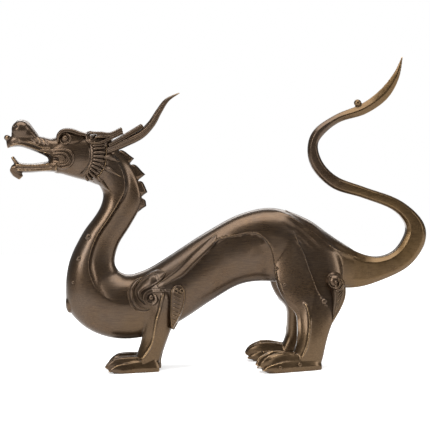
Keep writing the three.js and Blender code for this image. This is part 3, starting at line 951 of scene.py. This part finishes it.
# Mane: pointed leaves behind the ruff, and the ruff's raised edge
maneSet = {"leaves": [
    [(-101, 192.5, 2.2, 2.6), (-94, 192.3, 3.4, 3), (-85.8, 188.2, 0.5, 0.6)],
    [(-103, 184.6, 2.2, 2.6), (-96, 181.4, 2.8, 2.8), (-86.2, 175, 0.5, 0.6)],
    [(-110, 175.6, 2.4, 2.4), (-104, 170, 3, 2.8), (-95.8, 161.8, 0.5, 0.6)],
], "ruffEdge": [(-98, 203.5, 0.6, 1), (-98.4, 197, 0.9, 1.8), (-98.8, 190, 0.9, 1.8),
                (-100.6, 183.6, 0.9, 1.8), (-105.4, 176.6, 0.9, 1.8), (-112, 171.6, 0.7, 1.2)]}
maneRows = [*maneSet["leaves"], maneSet["ruffEdge"]]
ornament("maneLeaves", [band(rows, "peaked", s["side"]) for s in bothSides for rows in maneRows])


# Crest: wavy teeth along the back of the neck, each round above and hooked at its tip
crestSet = {
    "teeth": [
        {"top": (-89, 197), "tip": (-73.5, 190.6), "foot": (-78.5, 184.5)},
        {"top": (-78.5, 184.5), "tip": (-63.8, 176), "foot": (-70.5, 170.5)},
        {"top": (-70.5, 170.5), "tip": (-62.3, 160), "foot": (-67.8, 155.5)},
        {"top": (-67.8, 155.5), "tip": (-63.6, 147.6), "foot": (-74, 139)},
    ],
    "thick": 3.68, "edge": 0.6, "root": 9, "taper": 0.7, "steps": 12, "layers": 7,
    "back": (0.15, 0.62), "hook": (0.22, 0.9), "hollow": (0.3, 0.1), "heel": (0.25, 0.12),
}


def crestTooth(tooth):
    s = crestSet
    top, tip, foot = (np.array(tooth[k], float) for k in ("top", "tip", "foot"))
    down = (foot - top) / np.linalg.norm(foot - top)
    out = np.array([-down[1], down[0]])
    out = out if out[0] > 0 else -out
    reach = (tip - top) @ out
    along = np.linspace(0, 3, s["steps"])
    back = top + down * s["back"][0] * np.linalg.norm(tip - top) + out * reach * s["back"][1]
    hook = tip + (top - tip) * s["hook"][0] + out * s["hook"][1]
    hollow = tip + (foot - tip) * s["hollow"][0] - out * reach * s["hollow"][1]
    heel = foot + (tip - foot) * s["heel"][0] - out * reach * s["heel"][1]
    edge = np.concatenate([rowAt([top, back, hook, tip], along),
                           rowAt([tip, hollow, heel, foot], along)[1:]])
    root = np.array([top + (foot - top) * t - out * s["root"] for t in np.linspace(0, 1, len(edge))])
    rings = []
    for depth in np.linspace(0, 1, s["layers"]):
        line = root + (edge - root) * depth
        half = s["thick"] * (1 - depth) ** s["taper"] + s["edge"]
        near = np.stack([line[:, 0], np.full(len(line), -half), line[:, 1]], 1)
        far = np.stack([line[::-1, 0], np.full(len(line), half), line[::-1, 1]], 1)
        rings.append(np.concatenate([near, far]))
    return skin(rings)


ornament("neckCrest", [crestTooth(t) for t in crestSet["teeth"]])


# Feathers that hang behind the elbows and the hocks, with scrolls at their tops
featherSet = {
    "elbow": [
        (-38.2, 77.6, 3.4, 2.4), (-38, 72.5, 7, 3.4), (-38.3, 65, 7.1, 3.6), (-39.6, 57, 6.2, 3.4),
        (-41.6, 49, 4.4, 3), (-44.2, 38.5, 1, 1.6)],
    "elbowDepth": 20, "elbowSlab": (18, 5.5), "elbowScrolls": [(-39.4, 73), (-34.6, 72.6)],
    "scrollRing": (1.7, 0.6, 1.2),
    "hock": [
        (104.5, 80, 3.4, 2.8), (105, 73, 6, 3.6), (104.8, 65, 6, 3.8), (103, 57, 4.8, 3.4),
        (100.8, 49.5, 3, 2.6), (98.6, 42, 0.9, 1.4)],
    "hockDepth": 32, "hockSlab": (29, 6), "hockKnob": (101.5, 28.5, 77.6, 7, 6.5),
    "hockScroll": {"centre": (101.5, 77.6), "angles": (-95, 400), "radii": (7.6, 7.4, 6.8, 5.2, 3.2),
                   "wide": 1.3, "high": 2.2},
    "hockBoss": (101.5, 77.6, 2, 2.6), "fullHeight": 3.4,
    "rim": {"inset": 0.9, "least": 0.1, "wide": 0.75, "high": 1.1},
}


def slab(kind, side, shift=0.0, drop=0.0):
    depth, thick = featherSet[kind + "Slab"]
    wall = [(x + shift, z - drop, depth, wide, thick * high / featherSet["fullHeight"])
            for x, z, wide, high in featherSet[kind]]
    return onSide(strap(wall, 6, 24, 2.6), side)


def spiral(s, side, shift, count=22):
    angles = np.linspace(*s["angles"], count)
    radii = np.interp(np.linspace(0, 1, count), np.linspace(0, 1, len(s["radii"])), s["radii"])
    return band(around(s["centre"], angles, radii, s["wide"], s["high"]), "round", side, shift, 3)


def feathers(s):
    knobX, *knobRest = featherSet["hockKnob"]
    return [
        slab("elbow", s["side"], s["fore"], s["drop"]), slab("hock", s["side"], s["hind"]),
        onSide(ball(knobX + s["hind"], *knobRest), s["side"]),
    ]


slabs = ornament("hangingFeathers", [shell for s in bothSides for shell in feathers(s)])


# The trim that follows lies on the feathers too
def addSurface(*items):
    points, faces, base = [], [], 0
    for item in items:
        points.extend(v.co.copy() for v in item.data.vertices)
        faces.extend([[base + k for k in p.vertices] for p in item.data.polygons])
        base = len(points)
    surface["tree"] = BVHTree.FromPolygons(points, faces)


addSurface(body, slabs)


def rimOf(kind, side, shift, drop, edge=1):
    path, s = sampled(featherSet[kind], 3), featherSet["rim"]
    rim = []
    for (x, z, wide, _), (runX, runZ) in zip(path, directions(path)):
        reach = max(wide - s["inset"], s["least"]) * edge
        rim.append((x - runZ * reach, z + runX * reach - drop, s["wide"], s["high"]))
    return band(rim, "round", side, shift, 2)


def featherTrim(s):
    side, fore, hind, drop = s["side"], s["fore"], s["hind"], s["drop"]
    radius, wide, high = featherSet["scrollRing"]
    pieces = [rimOf("elbow", side, fore, drop), rimOf("elbow", side, fore, drop, -1),
              rimOf("hock", side, hind, 0)]
    for x, z in featherSet["elbowScrolls"]:
        circle = around((x, z - drop), np.linspace(0, 360, 9), [radius] * 9, wide, high)
        pieces.append(band(circle, "round", side, fore, 3))
    pieces.append(spiral(featherSet["hockScroll"], side, hind))
    pieces.append(dome(*featherSet["hockBoss"], side, hind))
    return pieces


ornament("featherTrim", [shell for s in bothSides for shell in featherTrim(s)])


# Repeated trim, laid out by points that carry a turn and a size, with one small form on each
def pointCloud(name, spots):
    mesh = bpy.data.meshes.new(name)
    mesh.from_pydata([tuple(c * mm for c in spot["at"]) for spot in spots], [], [])
    for key in ("turn", "size"):
        layer = mesh.attributes.new(key, "FLOAT_VECTOR", "POINT")
        layer.data.foreach_set("vector", np.array([spot[key] for spot in spots], float).ravel())
    item = bpy.data.objects.new(name, mesh)
    bpy.context.collection.objects.link(item)
    return item


def repeatTree(name, rounds):
    tree = bpy.data.node_groups.new(name, "GeometryNodeTree")
    tree.interface.new_socket("Geometry", in_out="INPUT", socket_type="NodeSocketGeometry")
    for label, default in (("Bead radius", 1.0), ("Finish", None)):
        kind = "NodeSocketMaterial" if default is None else "NodeSocketFloat"
        tree.interface.new_socket(label, in_out="INPUT", socket_type=kind)
    tree.interface.new_socket("Geometry", in_out="OUTPUT", socket_type="NodeSocketGeometry")
    nodes, link = tree.nodes, tree.links.new
    source, result = nodes.new("NodeGroupInput"), nodes.new("NodeGroupOutput")
    bead = nodes.new("GeometryNodeMeshUVSphere")
    bead.inputs["Segments"].default_value, bead.inputs["Rings"].default_value = rounds
    link(source.outputs["Bead radius"], bead.inputs["Radius"])
    put = nodes.new("GeometryNodeInstanceOnPoints")
    link(source.outputs["Geometry"], put.inputs["Points"])
    link(bead.outputs["Mesh"], put.inputs["Instance"])
    for key, target in (("turn", "Rotation"), ("size", "Scale")):
        read = nodes.new("GeometryNodeInputNamedAttribute")
        read.data_type = "FLOAT_VECTOR"
        read.inputs["Name"].default_value = key
        link(read.outputs["Attribute"], put.inputs[target])
    real = nodes.new("GeometryNodeRealizeInstances")
    link(put.outputs["Instances"], real.inputs["Geometry"])
    paint = nodes.new("GeometryNodeSetMaterial")
    link(real.outputs["Geometry"], paint.inputs["Geometry"])
    link(source.outputs["Finish"], paint.inputs["Material"])
    link(paint.outputs["Geometry"], result.inputs["Geometry"])
    return tree


def repeated(name, spots, finish, rounds=(14, 10)):
    item = pointCloud(name, spots)
    tree = repeatTree(name + "Layout", rounds)
    layout = item.modifiers.new("layout", "NODES")
    layout.node_group = tree
    wanted = {"Bead radius": mm, "Finish": finish}
    for socket in tree.interface.items_tree:
        if socket.item_type == "SOCKET" and socket.in_out == "INPUT" and socket.name in wanted:
            layout[socket.identifier] = wanted[socket.name]
    baked(item)
    for key in ("turn", "size"):
        if key in item.data.attributes:
            item.data.attributes.remove(item.data.attributes[key])
    ornaments.append(item)
    print(name, triangles(item), "triangles")
    return item


bronze = bpy.data.materials.new("agedBronze")

# Studs, with x, z and radius, then the ribs of the ruff, then the barbs of the feathers
studSet = {
    "flank": [(-116, 122, 3), (-125, 103, 2.4), (-130.5, 82, 1.5), (50.5, 90, 2.1), (57, 75.5, 2)],
    "hind": [(91, 60.5, 2.9), (49, 5, 1.8), (67, 6.5, 2)],
    "out": 0.2, "flatness": 0.75,
}


def studSpots():
    spots = []
    for s in bothSides:
        for group, shift in (("flank", 0.0), ("hind", s["hind"])):
            for x, z, radius in studSet[group]:
                y = skinOut(x + shift, z, s["side"], 0) + s["side"] * studSet["out"]
                size = (radius, radius * studSet["flatness"], radius)
                spots.append({"at": (x + shift, y, z), "turn": (0, 0, 0), "size": size})
    return spots


repeated("studs", studSpots(), bronze, (20, 14))

ruffSet = {
    "ribs": 11, "thick": 1.75, "high": 2.9,
    "path": [(-105.5, 203.6, 12.6), (-105, 197, 12.6), (-105.5, 190, 12.4), (-107.6, 183.6, 12),
             (-111.6, 178, 11), (-116.8, 174.9, 8)],  # x, z and length of a rib
}


def ruffSpots():
    path = rowAt(ruffSet["path"], np.linspace(0, len(ruffSet["path"]) - 1, ruffSet["ribs"]))
    run = np.gradient(path[:, :2], axis=0)
    spots = []
    for s in bothSides:
        for (x, z, length), (runX, runZ) in zip(path, run):
            turn = (0, -math.atan2(runX, -runZ), 0)
            size = (length * 0.5, ruffSet["high"], ruffSet["thick"])
            spots.append({"at": (x, skinOut(x, z, s["side"], 0), z), "turn": turn, "size": size})
    return spots


repeated("ruffRibs", ruffSpots(), bronze, (18, 12))

barbSet = {
    "layouts": [
        {"feather": "elbow", "leg": "fore", "drops": 1, "count": 10, "lean": 25, "share": 0.62},
        {"feather": "hock", "leg": "hind", "drops": 0, "count": 12, "lean": -52, "share": 0.95},
    ],
    "first": 0.9, "last": 1.35, "high": 1.3, "thick": 0.7, "out": 0.1,
}


def barbSpots():
    spots = []
    for s in bothSides:
        for layout in barbSet["layouts"]:
            rows = featherSet[layout["feather"]]
            depth = s["side"] * featherSet[layout["feather"] + "Depth"]
            shift, drop = s[layout["leg"]], s["drop"] * layout["drops"]
            for place in np.linspace(barbSet["first"], len(rows) - barbSet["last"], layout["count"]):
                x, z, wide, _ = rowAt(rows, place)
                y = skinOut(x + shift, z - drop, s["side"], depth) + s["side"] * barbSet["out"]
                spots.append({
                    "at": (x + shift, y, z - drop), "turn": (0, math.radians(layout["lean"]), 0),
                    "size": (wide * layout["share"], barbSet["high"], barbSet["thick"]),
                })
    return spots


repeated("featherBarbs", barbSpots(), bronze, (10, 8))


# Where a surface bulges or dips, for the rubbed edges and the painted shade that darkens the hollows
toneSet = {
    "casting": {"bulge": (0.14, 0.50), "dip": (-0.06, -0.35)},
    "trim": {"bulge": (0.35, 1.30), "dip": (-0.05, -0.35)},
    "rounds": 2, "shortest": 0.01,
    "tailX": (100, 125), "legZ": (60, 30), "legX": (-100, -80), "tailWarmth": 0.9, "legWarmth": 0.5,
}


def lay(mesh, key, values):
    layer = mesh.attributes.get(key) or mesh.attributes.new(key, "FLOAT", "POINT")
    layer.data.foreach_set("value", np.asarray(values, np.float32))


def tone(item, kind):
    mesh, s = item.data, toneSet
    points, edges, normals = readPoints(mesh), readEdges(mesh), readNormals(mesh)
    a, b = edges[:, 0], edges[:, 1]
    along = points[b] - points[a]
    length = np.maximum((along ** 2).sum(1), s["shortest"])
    count = len(points)
    bend = np.bincount(a, -(normals[a] * along).sum(1) / length, count)
    bend = bend + np.bincount(b, (normals[b] * along).sum(1) / length, count)
    degree = np.bincount(a, minlength=count) + np.bincount(b, minlength=count)
    bend = (bend / np.maximum(degree, 1))[:, None]
    bend = softened(bend, edges, s["rounds"])[:, 0]
    lay(mesh, "rubbed", rise(bend, *s[kind]["bulge"]))
    # hollow marks the dips where painted shade darkens the colour
    lay(mesh, "hollow", rise(bend, *s[kind]["dip"]))
    x, z = points[:, 0], points[:, 2]
    tailPart = rise(x, *s["tailX"]) * s["tailWarmth"]
    legPart = rise(z, *s["legZ"]) * rise(x, *s["legX"]) * s["legWarmth"]
    lay(mesh, "warmth", np.maximum(tailPart, legPart))


# Shader sockets that can be written as sums, and one way to make any other node
class Wave:
    def __init__(self, tree, socket):
        self.tree = tree
        self.socket = socket

    def math(self, operation, first, second=0.0):
        node = self.tree.nodes.new("ShaderNodeMath")
        node.operation = operation
        for k, value in enumerate((first, second)):
            if isinstance(value, Wave):
                self.tree.links.new(value.socket, node.inputs[k])
            else:
                node.inputs[k].default_value = value
        return Wave(self.tree, node.outputs[0])

    def __add__(self, other):
        return self.math("ADD", self, other)

    def __sub__(self, other):
        return self.math("SUBTRACT", self, other)

    def __rsub__(self, other):
        return self.math("SUBTRACT", other, self)

    def __mul__(self, other):
        return self.math("MULTIPLY", self, other)

    __radd__ = __add__
    __rmul__ = __mul__


class Bench:
    def __init__(self, tree):
        self.tree = tree

    def node(self, kind, settings=None, inputs=None, output=0):
        made = self.tree.nodes.new(kind)
        for key, value in (settings or {}).items():
            setattr(made, key, value)
        for key, value in (inputs or {}).items():
            if isinstance(value, Wave):
                self.tree.links.new(value.socket, made.inputs[key])
            else:
                made.inputs[key].default_value = value
        return Wave(self.tree, made.outputs[output])

    def mix(self, share, first, second):
        made = self.tree.nodes.new("ShaderNodeMix")
        made.data_type = "RGBA"
        for socket, value in zip((made.inputs[0], made.inputs[6], made.inputs[7]),
                                 (share, first, second)):
            if isinstance(value, Wave):
                self.tree.links.new(value.socket, socket)
            else:
                socket.default_value = value
        return Wave(self.tree, made.outputs[2])


# Aged bronze: brown and grey in patches, warmer on the legs and the tail, rubbed bright where the
# surface bulges, darkened with painted shade in the hollows, with fine brush marks
bronzeSet = {
    "brown": (0.064, 0.038, 0.021, 1), "golden": (0.100, 0.057, 0.019, 1),
    "grey": (0.062, 0.047, 0.038, 1),
    # hollow is the near-black colour of the painted shade in the hollows
    "hollow": (0.008, 0.005, 0.003, 1), "rubbed": (0.58, 0.38, 0.20, 1),
    "roughness": 0.17, "mottleRough": 0.16, "brushRough": 0.10, "hollowRough": 0.25, "rubbedSmooth": 0.08,
    "metallic": 0.88, "rubbedMetal": 0.2, "hollowMetal": 0.3, "coat": 0.15, "coatRoughness": 0.2,
    "mottleScale": 34.0, "grainScale": 1500.0, "brush": (110.0, 1300.0, 1300.0),
    "patch": (0.35, 0.65), "greyShare": 0.55, "warmPatch": 0.4, "streak": (0.4, 0.65), "brushShare": 0.6,
    "streakShare": 0.06, "paintedShadeShare": 0.9, "streakRub": 0.3, "bump": 0.06, "bumpDepth": 0.0002,
}


def paintBronze(material, s):
    material.use_nodes = True
    tree = material.node_tree
    bench = Bench(tree)
    place = bench.node("ShaderNodeTexCoord", output=3)

    def noise(vector, scale, **more):
        inputs = {"Vector": vector, "Scale": scale, "Detail": 2.0, **more}
        return bench.node("ShaderNodeTexNoise", None, inputs)

    def between(value, span):
        return bench.node("ShaderNodeMapRange", None, {"Value": value, "From Min": span[0],
                                                       "From Max": span[1]})

    def drawn(key):
        return bench.node("ShaderNodeAttribute", {"attribute_name": key}, output=2)

    mottle = noise(place, s["mottleScale"], Detail=4.0, Roughness=0.6)
    grain = noise(place, s["grainScale"])
    brushed = noise(bench.node("ShaderNodeMapping", None, {"Vector": place, "Scale": s["brush"]}), 1.0)
    rubbed, hollow, warmth = drawn("rubbed"), drawn("hollow"), drawn("warmth")
    patchy = between(mottle, s["patch"])
    streak = between(brushed * s["brushShare"] + grain * (1 - s["brushShare"]), s["streak"])
    colour = bench.mix(patchy * s["greyShare"], s["brown"], s["grey"])
    colour = bench.mix(warmth * (patchy * s["warmPatch"] + (1 - s["warmPatch"])), colour, s["golden"])
    colour = bench.mix(streak * s["streakShare"], colour, s["rubbed"])
    # painted shade: the hollows are darkened almost to black
    colour = bench.mix(hollow * s["paintedShadeShare"], colour, s["hollow"])
    colour = bench.mix(rubbed * (streak * s["streakRub"] + (1 - s["streakRub"])), colour, s["rubbed"])
    roughness = mottle * s["mottleRough"] + brushed * s["brushRough"] + hollow * s["hollowRough"]
    roughness = roughness - rubbed * s["rubbedSmooth"] + s["roughness"]
    metallic = rubbed * s["rubbedMetal"] - hollow * s["hollowMetal"] + s["metallic"]
    bumpInputs = {"Strength": s["bump"], "Distance": s["bumpDepth"], "Height": brushed + grain}
    bump = bench.node("ShaderNodeBump", None, bumpInputs)
    shader = tree.nodes["Principled BSDF"].inputs
    for key, value in {"Base Color": colour, "Roughness": roughness, "Metallic": metallic,
                       "Normal": bump}.items():
        tree.links.new(value.socket, shader[key])
    shader["Coat Weight"].default_value = s["coat"]
    shader["Coat Roughness"].default_value = s["coatRoughness"]


paintBronze(bronze, bronzeSet)
for item in [body, *ornaments]:
    tone(item, "casting" if item is body else "trim")
    item.data.materials.clear()
    item.data.materials.append(bronze)
    item.data.polygons.foreach_set("use_smooth", [True] * len(item.data.polygons))
    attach(item, "root")
    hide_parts("dragon")
print("bronze on", len(ornaments) + 1, "pieces")


# A round, pale floor
floorSet = {"radius": 1.4, "sides": 64, "colour": (0.9, 0.9, 0.9, 1), "roughness": 0.8, "glow": 0.45}


def makeFloor(s):
    angles = [math.tau * k / s["sides"] for k in range(s["sides"])]
    mesh = bpy.data.meshes.new("floor")
    mesh.from_pydata([(s["radius"] * math.cos(t), s["radius"] * math.sin(t), 0) for t in angles],
                     [], [list(range(s["sides"]))])
    paint = bpy.data.materials.new("palePaper")
    paint.use_nodes = True
    inputs = paint.node_tree.nodes["Principled BSDF"].inputs
    inputs["Base Color"].default_value = s["colour"]
    inputs["Roughness"].default_value = s["roughness"]
    inputs["Emission Color"].default_value = (1, 1, 1, 1)
    inputs["Emission Strength"].default_value = s["glow"]
    mesh.materials.append(paint)
    floor = bpy.data.objects.new("floor", mesh)
    bpy.context.collection.objects.link(floor)


# Softboxes, in metres
lampSet = {
    "topSoftbox": {"spot": (-0.05, -0.25, 1.25), "aim": (0, 0, 0.12), "size": (1.5, 0.9), "watts": 21},
    "frontSoftbox": {"spot": (-1.15, -0.95, 0.75), "aim": (0, 0, 0.14), "size": (0.5, 0.9), "watts": 14},
    "sideSoftbox": {"spot": (1.3, -0.5, 0.5), "aim": (0, 0, 0.14), "size": (0.35, 0.9), "watts": 6},
    "backSoftbox": {"spot": (0.2, 1.2, 0.9), "aim": (0, 0, 0.12), "size": (1.4, 0.5), "watts": 8},
}


def makeLamp(name, s):
    data = bpy.data.lights.new(name, "AREA")
    data.shape = "RECTANGLE"
    data.size, data.size_y = s["size"]
    data.energy = s["watts"]
    lamp = bpy.data.objects.new(name, data)
    lamp.location = s["spot"]
    aim = Vector(s["aim"]) - Vector(s["spot"])
    lamp.rotation_euler = aim.to_track_quat("-Z", "Y").to_euler()
    bpy.context.collection.objects.link(lamp)


worldSet = {"background": 1.0, "fill": 0.22}  # how bright the backdrop is, and what the metal sees of it


def makeWorld(s):
    world = bpy.data.worlds.new("studio")
    world.use_nodes = True
    seen = Bench(world.node_tree).node("ShaderNodeLightPath", output=0)
    background = world.node_tree.nodes["Background"].inputs
    background["Color"].default_value = (1, 1, 1, 1)
    strength = seen * (s["background"] - s["fill"]) + s["fill"]
    world.node_tree.links.new(strength.socket, background["Strength"])
    bpy.context.scene.world = world


makeFloor(floorSet)
for name, lampValues in lampSet.items():
    makeLamp(name, lampValues)
makeWorld(worldSet)
bpy.context.scene.view_settings.view_transform = "Standard"
print("floor, lamps and backdrop set")
